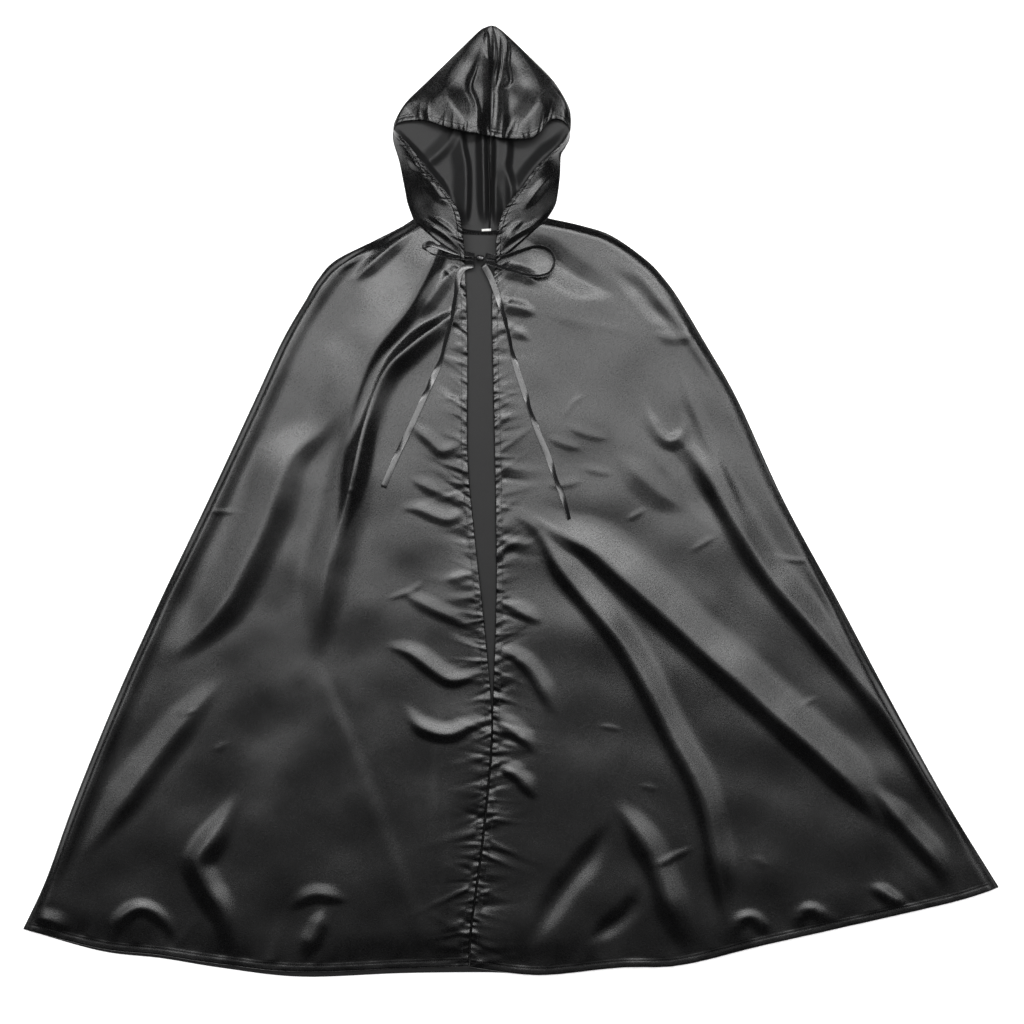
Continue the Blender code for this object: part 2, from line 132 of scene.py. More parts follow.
FRONT_HEM = {
    LEFT: [(-0.021, -1.139), (-0.127, -1.143), (-0.282, -1.148), (-0.406, -1.136), (-0.499, -1.122),
           (-0.592, -1.112), (-0.713, -1.082)],
    RIGHT: [(-0.019, -1.141), (0.090, -1.153), (0.214, -1.141), (0.307, -1.138), (0.431, -1.108),
            (0.555, -1.080), (0.648, -1.059), (0.741, -1.037), (0.803, -1.017)],
}
BACK_HEM = [(-0.713, -1.082), (-0.592, -1.116), (-0.499, -1.127), (-0.406, -1.142), (-0.282, -1.156),
            (-0.127, -1.1505), (-0.003, -1.149), (0.090, -1.150), (0.214, -1.138), (0.307, -1.134),
            (0.431, -1.105), (0.555, -1.077), (0.648, -1.056), (0.741, -1.034), (0.803, -1.017)]
BACK_NECK = [(-0.107, 0.0212), (0.010, 0.0122), (0.102, 0.0228)]
FRONT_NECK = {
    LEFT: [(-0.026, -0.047), (-0.067, -0.015), (-0.107, 0.0212)],
    RIGHT: [(0.022, -0.047), (0.062, -0.013), (0.102, 0.0228)],
}

# Hood outlines.
TIP = (0.0156, 0.3205)
HOOD_FOOT = (0.007, 0.000)
BROW = [(-0.138, 0.158), (-0.131, 0.168), (-0.112, 0.172), (-0.088, 0.171), (-0.064, 0.162), (-0.043, 0.155),
        (-0.023, 0.150), (-0.007, 0.148), (0.015, 0.146), (0.032, 0.142), (0.056, 0.139), (0.076, 0.142),
        (0.090, 0.151), (0.102, 0.168), (0.117, 0.174), (0.130, 0.168), (0.137, 0.156)]
CROWN_SIDE = {
    LEFT: [(-0.138, 0.158), (-0.135, 0.174), (-0.121, 0.197), (-0.090, 0.228), (-0.059, 0.259),
           (-0.028, 0.290), (-0.004, 0.3135), (0.008, 0.3200)],
    RIGHT: [(0.137, 0.156), (0.138, 0.176), (0.134, 0.197), (0.116, 0.228), (0.087, 0.259), (0.056, 0.290),
            (0.034, 0.311), (0.022, 0.3200)],
}
HOOD_SIDE = {
    LEFT: [(-0.107, 0.0212), (-0.1155, 0.045), (-0.119, 0.062), (-0.122, 0.078), (-0.129, 0.112),
           (-0.1375, 0.140), (-0.138, 0.158)],
    RIGHT: [(0.102, 0.0228), (0.1125, 0.040), (0.117, 0.056), (0.121, 0.088), (0.1225, 0.119), (0.128, 0.130),
            (0.135, 0.143), (0.137, 0.156)],
}
FACE_EDGE = {
    LEFT: [(-0.026, -0.047), (-0.028, -0.015), (-0.034, 0.024), (-0.0465, 0.048), (-0.065, 0.071),
           (-0.0825, 0.0915), (-0.1085, 0.128), (-0.128, 0.150), (-0.136, 0.156)],
    RIGHT: [(0.022, -0.047), (0.022, -0.010), (0.031, 0.024), (0.045, 0.0465), (0.065, 0.071),
            (0.085, 0.099), (0.108, 0.120), (0.127, 0.140), (0.135, 0.154)],
}
CROWN_SEAM = [(0.140, 0.0136), (0.190, 0.014), (0.235, 0.016), (0.270, 0.0215), (0.300, 0.021),
              (0.322, 0.0158)]
NECK_LINE = [(-0.088, 0.0090), (-0.045, 0.0020), (0.007, -0.0010), (0.045, 0.0025), (0.084, 0.0100)]
BINDING_LEVEL = 0.0036
LABEL_LINE = [(-0.0004, 0.0034, 0.0056), (0.0070, 0.0037, 0.0058), (0.0139, 0.0040, 0.0057)]

# Ribbon: centre lines, from the knot outwards, as in the CAD source.
KNOT_CENTRE = (-0.003, -0.041, 0.0150)
KNOT_HALF = (0.0068, 0.0048, 0.0040)
STRAP = {
    LEFT: [(-0.0255, -0.0375), (-0.0114, -0.040)],
    RIGHT: [(0.0213, -0.0440), (0.0054, -0.042)],
}
LOOP = {
    LEFT: [(-0.0115, -0.0370), (-0.040, -0.0320), (-0.068, -0.0225), (-0.084, -0.0190), (-0.0905, -0.0255),
           (-0.080, -0.0325), (-0.055, -0.0385), (-0.0115, -0.0440)],
    RIGHT: [(0.0055, -0.0370), (0.030, -0.0400), (0.059, -0.0310), (0.084, -0.0240), (0.103, -0.0290),
            (0.112, -0.0450), (0.104, -0.0640), (0.078, -0.0690), (0.046, -0.0610), (0.0055, -0.0475)],
}
TAIL = {
    LEFT: [(-0.0120, -0.0515), (-0.0250, -0.0540), (-0.0345, -0.0640), (-0.0385, -0.080), (-0.0410, -0.098),
           (-0.0465, -0.132), (-0.057, -0.1705), (-0.066, -0.203), (-0.0806, -0.236), (-0.096, -0.270),
           (-0.113, -0.307), (-0.135, -0.353), (-0.153, -0.396)],
    RIGHT: [(0.002, -0.0510), (0.012, -0.068), (0.023, -0.0955), (0.039, -0.147), (0.050, -0.198),
            (0.068, -0.254), (0.084, -0.302), (0.101, -0.344), (0.115, -0.383), (0.128, -0.4185),
            (0.136, -0.445)],
}

# Turn of the ribbon about its own line: where, as a share of its length, and how many degrees.
TAIL_TURN = {
    LEFT: [(0.0, 20), (0.08, 8), (0.16, 38), (0.42, 40), (0.50, 4), (0.56, 34), (0.62, 2), (0.78, 6),
           (0.83, 26), (0.88, 4), (1.0, -6)],
    RIGHT: [(0.0, 12), (0.12, -4), (0.20, -40), (0.34, -44), (0.39, -4), (0.50, -6), (0.56, -44),
            (0.64, -8), (0.76, -2), (0.84, -40), (0.90, -8), (0.95, -34), (1.0, -50)],
}
LOOP_TURN = {
    LEFT: [(0, 40), (0.15, 20), (0.4, 18), (0.5, 50), (0.6, 118), (0.85, 125), (1, 118)],
    RIGHT: [(0, 50), (0.12, 62), (0.5, 66), (0.75, 58), (1, 50)],
}
STRAP_TURN = (50, 35)
BINDING_TURN = -38.0
INSIDE_SEAM_TURN = 62.0
# Height of each loop at the knot, and how much higher its middle stands.
LOOP_LEVEL = {LEFT: (0.0165, 0.0030), RIGHT: (0.0185, 0.0010)}

# How a fold runs: the step that its line is walked in, the stretch that it fades over at each end, as a share
# of its length and at most, and the share of its reach that it keeps at its very ends.
FOLD_STEP = 0.008
FOLD_FADE_SHARE = 0.36
FOLD_FADE_MOST = 0.14
FOLD_END_REACH = 0.45

# Folds, all in mm. Each is a ridge, or a valley where its height is negative: its height, how far it reaches
# to the left and to the right of its line, as the line is walked, and the points of the line.
FRONT_FOLDS = {
    LEFT: [
        (12, 26, 90, [(-20, 70), (-50, 20), (-80, -55), (-115, -120), (-165, -185), (-192, -245),
            (-206, -310), (-212, -370)]),
        (10.5, 32, 24, [(0, -98), (-60, -140), (-110, -178), (-152, -222), (-183, -310), (-205, -410),
            (-222, -480)]),
        (12, 40, 60, [(-166, -250), (-185, -315), (-212, -440), (-240, -540), (-256, -670)]),
        (2.6, 26, 60, [(-254, -640), (-245, -705), (-195, -830), (-145, -960), (-85, -1110)]),
        (12, 42, 70, [(-228, -276), (-252, -308), (-300, -357), (-327, -438), (-362, -513), (-392, -570),
            (-445, -630), (-490, -665)]),
        (9, 32, 16, [(-150, -12), (-225, -56), (-268, -105), (-310, -182), (-370, -315), (-430, -440),
            (-500, -574), (-580, -766), (-655, -960), (-690, -1050)]),
        (6.5, 30, 46, [(-400, -690), (-480, -785), (-550, -880), (-621, -975)]),
        (9, 34, 34, [(-375, -865), (-410, -930), (-438, -975), (-428, -1010), (-400, -1060), (-388, -1130)]),
        (4.2, 18, 18, [(-581, -1118), (-564, -1070), (-530, -1047), (-495, -1065), (-470, -1110)]),
        (4.6, 22, 22, [(-278, -1125), (-258, -1085), (-242, -1045)]),
        (3.4, 23, 18, [(-300, -1052), (-260, -1027), (-205, -1038)]),
        (4.2, 24, 24, [(-640, -1082), (-665, -1068), (-695, -1062)]),
        (5.0, 28, 16, [(-152, -640), (-112, -653), (-80, -677), (-50, -695), (-20, -690), (3, -674)]),
        (5.2, 24, 18, [(-122, -728), (-96, -767), (-52, -779), (-18, -765), (12, -752)]),
        (2.6, 22, 15, [(-130, -555), (-80, -583), (-38, -602), (-12, -622)]),
        (2.1, 14, 13, [(-60, -538), (-33, -534), (-8, -526)]),
        (2.8, 24, 14, [(-130, -428), (-99, -430), (-70, -442), (-46, -445), (-18, -424)]),
        (2.6, 22, 14, [(-120, -290), (-81, -324), (-60, -340), (-24, -322)]),
        (2.4, 22, 13, [(-114, -380), (-73, -402), (-50, -408), (-24, -395)]),
        (1, 13, 13, [(-70, -190), (-43, -202), (-22, -198)]),
        (5.1, 21, 21, [(-30, -50), (-56, -72), (-82, -108), (-104, -140)]),
        (6, 21, 23, [(-100, 14), (-124, -10), (-160, -40), (-205, -82)]),
        (3.4, 13, 16, [(-152, -10), (-190, -30), (-226, -66)]),
        (2.6, 16, 24, [(-64, -720), (-66, -860), (-60, -1000), (-62, -1145)]),
        (0.8, 7, 7, [(-432, -432), (-398, -434), (-364, -432)]),
        (0.9, 7, 7, [(-254, -409), (-220, -398), (-186, -404)]),
        (0.8, 8, 8, [(-152, -571), (-108, -555), (-86, -535)]),
        (0.9, 8, 8, [(-478, -752), (-456, -743), (-438, -740)]),
        (0.8, 8, 8, [(-418, -805), (-404, -798), (-392, -788)]),
    ],
    RIGHT: [
        (11, 62, 30, [(60, -430), (128, -472), (170, -494), (222, -541), (332, -641), (442, -740),
            (547, -835), (640, -935)]),
        (9, 42, 24, [(40, -428), (91, -468), (128, -531), (217, -641), (290, -777), (343, -887), (374, -1044),
            (392, -1100)]),
        (9, 46, 26, [(300, -310), (345, -370), (385, -440), (442, -531), (521, -625), (626, -751),
            (731, -903), (762, -975)]),
        (7.5, 36, 20, [(600, -855), (652, -920), (700, -975), (725, -1025)]),
        (9, 44, 28, [(200, -878), (233, -920), (264, -975), (290, -1044), (325, -1125)]),
        (1.4, 9, 12, [(262, -985), (296, -968), (330, -952)]),
        (3.6, 15, 17, [(392, -1100), (400, -1066), (422, -1063), (452, -1096)]),
        (3.6, 15, 17, [(490, -1092), (496, -1056), (513, -1049), (548, -1075)]),
        (3.6, 16, 17, [(596, -1010), (626, -1026), (664, -1048)]),
        (-5.1, 31, 31, [(205, -905), (170, -966), (117, -1034), (66, -1120)]),
        (-3.4, 23, 23, [(245, -1005), (227, -1055), (160, -1105)]),
        (4, 28, 15, [(20, -640), (62, -667), (86, -698), (115, -755)]),
        (4.2, 26, 14, [(14, -748), (55, -780), (85, -808)]),
        (4.2, 26, 14, [(14, -818), (55, -845), (86, -884)]),
        (3, 24, 14, [(22, -568), (57, -588), (95, -608)]),
        (1.7, 14, 14, [(22, -472), (55, -484), (82, -480)]),
        (2.5, 10, 16, [(140, 4), (193, -10), (242, -38), (282, -78), (316, -127), (352, -185), (426, -322),
            (475, -435), (573, -638), (668, -806), (762, -960), (793, -1010)]),
        (-2.5, 21, 23, [(195, -52), (242, -90), (268, -122), (312, -156)]),
        (2.1, 16, 18, [(222, -45), (248, -72), (273, -102), (300, -135), (343, -194), (385, -268)]),
        (1.3, 16, 16, [(262, -156), (300, -165), (335, -158)]),
        (3, 16, 21, [(248, -250), (262, -292), (288, -324), (312, -308), (306, -268)]),
        (-3.4, 36, 34, [(262, -316), (303, -352), (340, -405), (372, -470)]),
        (2.1, 18, 18, [(296, -190), (319, -249), (352, -330), (414, -464)]),
        (0.8, 16, 10, [(125, -298), (165, -315), (202, -322)]),
        (0.8, 14, 10, [(98, -316), (129, -330), (160, -338)]),
        (0.8, 16, 10, [(95, -392), (128, -392), (162, -384)]),
        (0.8, 13, 10, [(150, -364), (178, -371), (208, -376)]),
        (0.4, 18, 16, [(80, -118), (135, -136), (205, -151), (262, -162)]),
        (4.2, 18, 20, [(18, -52), (40, -60), (66, -66), (94, -84)]),
        (-5, 36, 40, [(45, 0), (90, -26), (150, -70), (215, -100)]),
        (3, 16, 18, [(16, -98), (38, -112), (62, -118), (90, -128)]),
        (2.1, 16, 16, [(16, -150), (50, -152), (80, -170)]),
        (0.9, 7, 7, [(433, -497), (477, -508), (519, -510)]),
        (0.8, 8, 8, [(222, -448), (240, -438), (255, -427)]),
        (0.8, 8, 8, [(320, -498), (344, -482), (366, -469)]),
        (0.8, 7, 7, [(178, -766), (199, -768), (219, -774)]),
        (0.8, 8, 8, [(492, -738), (506, -729), (518, -720)]),
        (0.9, 8, 8, [(419, -965), (432, -977), (446, -988)]),
        (0.8, 7, 7, [(243, -856), (259, -861), (276, -866)]),
        (0.7, 9, 9, [(122, -296), (141, -265), (166, -250)]),
        (2.5, 34, 34, [(205, -340), (262, -395), (320, -435)]),
    ],
}
CROWN_FOLDS = [
    (-12, 30, 30, [(16, 345), (20, 300), (20, 250), (22, 200), (18, 150), (16, 80)]),
    (-1.7, 2.9, 2.9, [(15.6, 330), (21, 300), (22, 270), (16, 235), (14, 190), (13.6, 140)]),
    (7, 34, 40, [(4, 330), (-26, 284), (-50, 246), (-56, 218), (-47, 196), (-32, 172), (-22, 140),
        (-18, 80)]),
    (3.6, 7, 12, [(0, 285), (-10, 250), (-18, 222), (-10, 200), (-7, 178), (-9, 130)]),
    (2.5, 5.2, 8, [(8, 318), (8, 295), (10, 266)]),
    (2.5, 3.9, 4.5, [(28, 314), (31, 284), (28, 250), (18, 205)]),
    (3, 4.5, 4.5, [(33, 310), (42, 287), (41, 257), (45, 232), (36, 222), (18, 226)]),
    (7, 44, 34, [(30, 318), (66, 272), (88, 232), (88, 204), (74, 178), (58, 155), (50, 128), (46, 80)]),
    (-5, 26, 26, [(-128, 205), (-112, 186), (-98, 168), (-90, 140)]),
    (2.5, 6, 8, [(98, 238), (122, 216), (133, 192), (128, 170)]),
]
INSIDE_FOLDS = [
    (12, 10, 30, [(-33, 200), (-31, 141), (-24, 99), (-24, 44), (-28, -30)]),
    (11, 9, 16, [(2, 220), (2, 141), (3, 90), (4, 30), (4, -30)]),
    (11, 18, 9, [(23, 220), (22, 141), (21, 90), (21, 26), (22, -30)]),
    (12, 14, 24, [(41, 190), (38, 123), (36, 99), (44, 70), (46, 10)]),
    (7, 14, 26, [(-30, 190), (-50, 141), (-78, 112), (-110, 90)]),
    (11, 13, 34, [(-140, 170), (-116.5, 136), (-94, 109), (-78.5, 89), (-62, 69), (-36, 30)]),
    (11, 31, 23, [(136, 170), (116, 136), (96, 116), (78, 96), (60, 70), (36, 30)]),
]
HOOD_SIDE_FOLDS = {
    LEFT: [
        (3.4, 13, 12, [(-30, -40), (-55, -24), (-80, -6), (-98, 16)]),
        (3.4, 10, 10, [(-30, -34), (-52, -10), (-75, 6), (-100, 24)]),
        (3, 10, 9, [(-30, -26), (-48, 0), (-66, 14), (-86, 26)]),
        (3.4, 16, 16, [(-50, 36), (-66, 56), (-80, 74), (-98, 84)]),
        (2.5, 9, 9, [(-74, 86), (-98, 98), (-116, 112)]),
    ],
    RIGHT: [
        (3.4, 10, 10, [(24, -36), (43, -14), (62, 0), (80, 10), (100, 30)]),
        (3.4, 10, 10, [(24, -42), (50, -26), (72, -10), (86, 6)]),
        (3, 10, 10, [(30, -26), (40, -8), (54, 8), (66, 18)]),
        (3.4, 13, 13, [(62, 30), (78, 52), (98, 76), (116, 87)]),
    ],
}

# Wrinkles that run in from a stitched edge: seed, pitch, height, reach, and how far in they start.
FRONT_EDGE_PUCKERS = [
    (21, 0.022, 0.0022, 0.042, HEM_WIDTH),
    (31, 0.012, 0.0018, 0.028, 0.0),
    (36, 0.0060, 0.0013, 0.011, 0.0),
]
FRONT_HEM_PUCKERS = [(41, 0.032, 0.0020, 0.045, HEM_WIDTH), (51, 0.012, 0.0008, 0.016, 0.0)]
BROW_PUCKERS = (62, 0.010, 0.0022, 0.016)
FACE_PUCKERS = (71, 0.0065, 0.0022, 0.013)

# Low undulation of each sheet: seed, number of waves, wavelength, height.
FRONT_WAVES = [(4, 14, 0.16, 0.0011), (9, 14, 0.060, 0.00012)]
CROWN_WAVES = (61, 12, 0.05, 0.0005)
HOOD_SIDE_WAVES = (73, 10, 0.04, 0.0006)

# Materials: dark and light colour, lowest and highest roughness, bump, specular level, anisotropy.
CLOTHS = {
    "satin": ("satin", (0.001, 0.001, 0.0011), (0.007, 0.007, 0.0073), 0.12, 0.37, 0.40, 0.62, 0.60),
    "reverse": ("satin_reverse", (0.008, 0.008, 0.0083), (0.013, 0.013, 0.0133), 0.44, 0.52, 0.15, 0.26),
    "ribbon": ("ribbon", (0.008, 0.008, 0.0084), (0.016, 0.016, 0.0166), 0.20, 0.30, 0.10, 1.0),
    "label": ("label", (0.74, 0.74, 0.72), (0.84, 0.84, 0.82), 0.5, 0.7, 0.15, 0.3),
    "thread": ("thread", (0.010, 0.010, 0.011), (0.022, 0.022, 0.023), 0.4, 0.6, 0.2, 0.4),
}
GRAIN_SCALE = 520.0
SLOW_SCALE = 22.0
GRAIN_SHARE = 0.75
GRAIN_RELIEF = 0.0006

# Stage. Each light: place, target, size and power.
CAMERA_PLACE = (0.0465, -0.434, 3.010)
CAMERA_SENSOR = 36.0
CAMERA_LENS = 68.05
FLOOR_HALF = 12
FLOOR_LEVEL = -0.0004
WORLD_STRENGTH = 0.01
LIGHTS = {
    "overhead": ((0.05, 0.0, 3.1), (0.05, 0.0, 0), (4.4, 0.9), 45),
    "fill": ((0.05, -1.25, 3.1), (0.05, -1.25, 0), (3.6, 1.4), 5),
    "key": ((0.05, 1.3, 3.2), (0.05, -0.4, 0), (5.0, 0.9), 125),
    "left side": ((-2.35, -0.6, 3.1), (-1.15, -0.6, 0), (1.0, 1.6), 10),
    "right side": ((2.45, -0.6, 3.1), (1.25, -0.6, 0), (1.0, 1.6), 10),
}


# ---------------------------------------------------------------- plan curves and patches

def smooth(points, steps=8):
    """Points on a smooth curve through the given ones."""
    knots = np.array(points, float)
    knots = np.vstack([2 * knots[0] - knots[1], knots, 2 * knots[-1] - knots[-2]])
    a, b, c, d = knots[:-3], knots[1:-2], knots[2:-1], knots[3:]
    pieces = []
    for t in np.arange(steps) / steps:
        pieces.append(0.5 * (2 * b + (c - a) * t + (2 * a - 5 * b + 4 * c - d) * t ** 2
                             + (3 * b - a - 3 * c + d) * t ** 3))
    line = np.stack(pieces, axis=1).reshape(-1, knots.shape[1])
    return np.vstack([line, knots[-2]])


def run(line):
    """Distance along a line at each of its points."""
    return np.concatenate([[0], np.cumsum(np.linalg.norm(np.diff(line, axis=0), axis=1))])


def along(line, share):
    """Points at shares of a line's length; share may have any shape."""
    lengths = run(line)
    places = share * lengths[-1]
    return np.stack([np.interp(places, lengths, line[:, k]) for k in range(line.shape[1])], axis=-1)


def evenly(line, step):
    """Points along a line, about a step apart."""
    count = max(2, round(run(line)[-1] / step) + 1)
    return along(line, np.linspace(0, 1, count))


class Patch:
    """A four-sided stretch of cloth: u runs from its inner edge to its outer edge, v from top to bottom."""

    def __init__(self, inner, outer, top, bottom):
        self.inner, self.outer, self.top, self.bottom = [smooth(c) for c in (inner, outer, top, bottom)]

    def at(self, u, v):
        p, q = u[..., None], v[..., None]
        corners = ((1 - p) * (1 - q) * self.inner[0] + p * (1 - q) * self.outer[0]
                   + (1 - p) * q * self.inner[-1] + p * q * self.outer[-1])
        across = (1 - q) * along(self.top, u) + q * along(self.bottom, u)
        down = (1 - p) * along(self.inner, v) + p * along(self.outer, v)
        return across + down - corners


class Grid:
    """Points over a patch, closer together near its edges, with their distances from those edges."""

    def __init__(self, patch, inner=(), outer=(), bottom=(), *, columns, rows):
        v = np.linspace(0, 1, rows + len(bottom))
        width = np.linalg.norm(patch.at(np.ones_like(v), v) - patch.at(np.zeros_like(v), v), axis=-1)
        u_all = np.stack([near_both_ends(w, inner, outer, columns) for w in width])
        length = np.linalg.norm(patch.at(u_all[-1], np.ones(u_all.shape[1]))
                                - patch.at(u_all[-1], np.zeros(u_all.shape[1])), axis=-1)
        v_all = np.stack([near_both_ends(h, (), bottom, rows) for h in length], axis=1)
        self.u, self.v = u_all, v_all
        self.xy = patch.at(u_all, v_all)
        self.from_inner = u_all * width[:, None]
        self.from_outer = (1 - u_all) * width[:, None]
        self.from_bottom = (1 - v_all) * length[None, :]
        self.from_top = v_all * length[None, :]
        self.down = v_all * run(patch.inner)[-1]
        self.across = u_all * run(patch.bottom)[-1]
        self.z = np.zeros_like(u_all)

    def points(self):
        return np.concatenate([self.xy, self.z[..., None]], axis=-1)


def millimetres(*sizes):
    return [size * MM for size in sizes]


def near_both_ends(size, first, last, count):
    """Shares of a length, at set distances from its ends and evenly spread between."""
    low = list(first)
    high = [size - d for d in reversed(last)]
    start = low[-1] if low else 0.0
    end = high[0] if high else size
    middle = np.linspace(start, end, count + bool(low) + bool(high))
    middle = middle[bool(low):len(middle) - bool(high)]
    return np.concatenate([low, middle, high]) / size


# ---------------------------------------------------------------- heights

def ease(x, low, high):
    """A smooth step from 0 at low to 1 at high."""
    t = np.clip((x - low) / (high - low), 0, 1)
    return t * t * (3 - 2 * t)


def fold_slope(shares, top=0.14, foot=0.45):
    """The side of a fold, from its crest down to the flat: straight, with a tight crest and a soft foot."""
    steep = ease(shares, 0, top) * (1 - ease(shares, 1 - foot, 1))
    fallen = np.cumsum(steep)
    return 1 - fallen / fallen[-1]


SLOPE_AT = np.linspace(0, 1, 61)
SLOPE = fold_slope(SLOPE_AT)


def fold_height(xy, fold):
    """Height that one fold adds: a ridge with its own reach on each side, fading at both ends."""
    height, reach_left, reach_right, points = fold
    line = evenly(smooth(np.array(points) * MM), FOLD_STEP)
    lengths = run(line)
    flat = xy.reshape(-1, 2)
    box = max(reach_left, reach_right) * MM
    inside = np.all((flat > line.min(0) - box) & (flat < line.max(0) + box), axis=1)
    where = flat[inside]
    best = np.full(len(where), np.inf)
    sign = np.zeros(len(where))
    spot = np.zeros(len(where))
    for k in range(len(line) - 1):
        step = line[k + 1] - line[k]
        size = step @ step
        t = np.clip(((where - line[k]) @ step) / size, 0, 1)
        away = where - line[k] - t[:, None] * step
        distance = np.sum(away * away, axis=1)
        closer = distance < best
        best = np.where(closer, distance, best)
        sign = np.where(closer, step[0] * away[:, 1] - step[1] * away[:, 0], sign)
        spot = np.where(closer, lengths[k] + t * math.sqrt(size), spot)
    fade = min(FOLD_FADE_SHARE * lengths[-1], FOLD_FADE_MOST)
    taper = ease(spot, 0, fade) * ease(lengths[-1] - spot, 0, fade)
    narrowing = FOLD_END_REACH + (1 - FOLD_END_REACH) * taper
    reach = np.where(sign > 0, reach_left, reach_right) * MM * narrowing
    crest = np.interp(np.sqrt(best) / reach, SLOPE_AT, SLOPE)
    added = np.zeros(len(flat))
    added[inside] = height * MM * crest * taper
    return added.reshape(xy.shape[:-1])


def folds_height(xy, folds):
    return sum(fold_height(xy, fold) for fold in folds)


def waves(xy, seed, count, length, height):
    """Low seeded undulation, with wavelengths about the given length."""
    chance = np.random.default_rng(seed)
    total = np.zeros(xy.shape[:-1])
    for _ in range(count):
        angle = chance.uniform(0, math.tau)
        number = math.tau / (length * chance.uniform(0.6, 1.6))
        total += np.sin(number * (xy[..., 0] * math.cos(angle) + xy[..., 1] * math.sin(angle))
                        + chance.uniform(0, math.tau))
    return total * height / math.sqrt(count)


def puckers(along_edge, from_edge, seed, pitch, height, reach, start=0.0):
    """Small wrinkles that run in from a stitched edge, each with its own place, slant, size and length."""
    chance = np.random.default_rng(seed)
    total = np.zeros_like(along_edge)
    place = 0.0
    end = float(along_edge.max())
    while place < end:
        place += pitch * chance.uniform(0.45, 1.6)
        tall = height * chance.uniform(0.35, 1.0) * chance.choice([-1, 1], p=[0.4, 0.6])
        width = pitch * chance.uniform(0.16, 0.34)
        slant = chance.uniform(-0.55, 0.55)
        far = reach * chance.uniform(0.35, 1.2)
        offset = along_edge - place - slant * from_edge
        rise = ease(from_edge, start - 0.004, start + 0.004) if start else 1.0
        total += tall * np.exp(-(offset / width) ** 2) * np.exp(-(from_edge / far) ** 1.6) * rise
    return total


def turned_hem(from_edge, width=HEM_WIDTH, pull=HEM_PULL):
    """The step up onto a turned hem, its rounded edge, and the groove that its stitching pulls."""
    step = HEM_STEP * (1 - ease(from_edge, width - HEM_STEP, width + HEM_STEP))
    rounded = HEM_ROUNDING * (1 - ease(from_edge, 0, 2 * HEM_ROUNDING))
    groove = pull * np.exp(-((from_edge - width + HEM_GROOVE_INSET) / HEM_GROOVE_WIDTH) ** 2)
    return step - rounded - groove


def front_height(side, grid):
    """Height of a front panel's upper face."""
    rise = ease(grid.from_outer, 0, FRONT_SIDE_ROLL)
    inner = ease(grid.from_inner, 0, FRONT_EDGE_SLOPE)
    low = ease(grid.from_bottom, 0, FRONT_HEM_SLOPE)
    z = FRONT_EDGE_LEVEL + (FRONT_LEVEL - FRONT_EDGE_LEVEL) * rise
    z = z - FRONT_EDGE_DROP * (1 - inner) - FRONT_HEM_DROP * (1 - low) * rise
    z = z + folds_height(grid.xy, FRONT_FOLDS[side]) * (SIDE_FOLD_SHARE + (1 - SIDE_FOLD_SHARE) * rise)
    for seed, *shape in FRONT_WAVES:
        z = z + waves(grid.xy, seed + side, *shape) * rise
    for seed, *shape in FRONT_EDGE_PUCKERS:
        added = puckers(grid.down, grid.from_inner, seed + side, *shape)
        if shape[-1]:  # the long ones start below the neck
            added = added * ease(grid.v, 0.03, 0.09)
        z = z + added
    for seed, *shape in FRONT_HEM_PUCKERS:
        z = z + puckers(grid.across, grid.from_bottom, seed + side, *shape) * rise
    z = z + turned_hem(grid.from_inner) + turned_hem(grid.from_bottom) * rise
    return np.maximum(z, BACK_LEVEL + CLOTH + LEAST_GAP)


# ---------------------------------------------------------------- meshes

def new_mesh(name, points, faces, materials, uv=None):
    """A smooth-shaded mesh object in the scene; uv has one row per point."""
    mesh = bpy.data.meshes.new(name)
    mesh.from_pydata([tuple(p) for p in points], [], faces)
    mesh.update()
    for material in materials:
        mesh.materials.append(material)
    mesh.polygons.foreach_set("use_smooth", [True] * len(mesh.polygons))
    if uv is not None:
        layer = mesh.uv_layers.new(name="flat")
        corners = np.zeros(len(mesh.loops), np.int32)
        mesh.loops.foreach_get("vertex_index", corners)
        layer.data.foreach_set("uv", np.asarray(uv, np.float32)[corners].ravel())
    item = bpy.data.objects.new(name, mesh)
    bpy.context.scene.collection.objects.link(item)
    return item


def grid_faces(rows, columns, flip):
    """Quads over a grid of points; flip turns them over."""
    index = np.arange(rows * columns).reshape(rows, columns)
    a, b, c, d = index[:-1, :-1], index[:-1, 1:], index[1:, 1:], index[1:, :-1]
    order = (a, b, c, d) if flip else (a, d, c, b)
    return np.stack(order, axis=-1).reshape(-1, 4).tolist()


def make_sheet(name, points, flip, face, reverse, thickness=CLOTH, turned=False):
    """A grid of points as cloth, its face up and its reverse beneath; turned cloth has its warp across."""
    rows, columns = points.shape[:2]
    uv = points[..., [1, 0] if turned else [0, 1]].reshape(-1, 2)
    item = new_mesh(name, points.reshape(-1, 3), grid_faces(rows, columns, flip), [face, reverse], uv)
    solid = item.modifiers.new("Thickness", "SOLIDIFY")
    solid.thickness = thickness
    solid.offset = -1
    solid.use_even_offset = False
    solid.material_offset = 1
    solid.material_offset_rim = 0
    return item


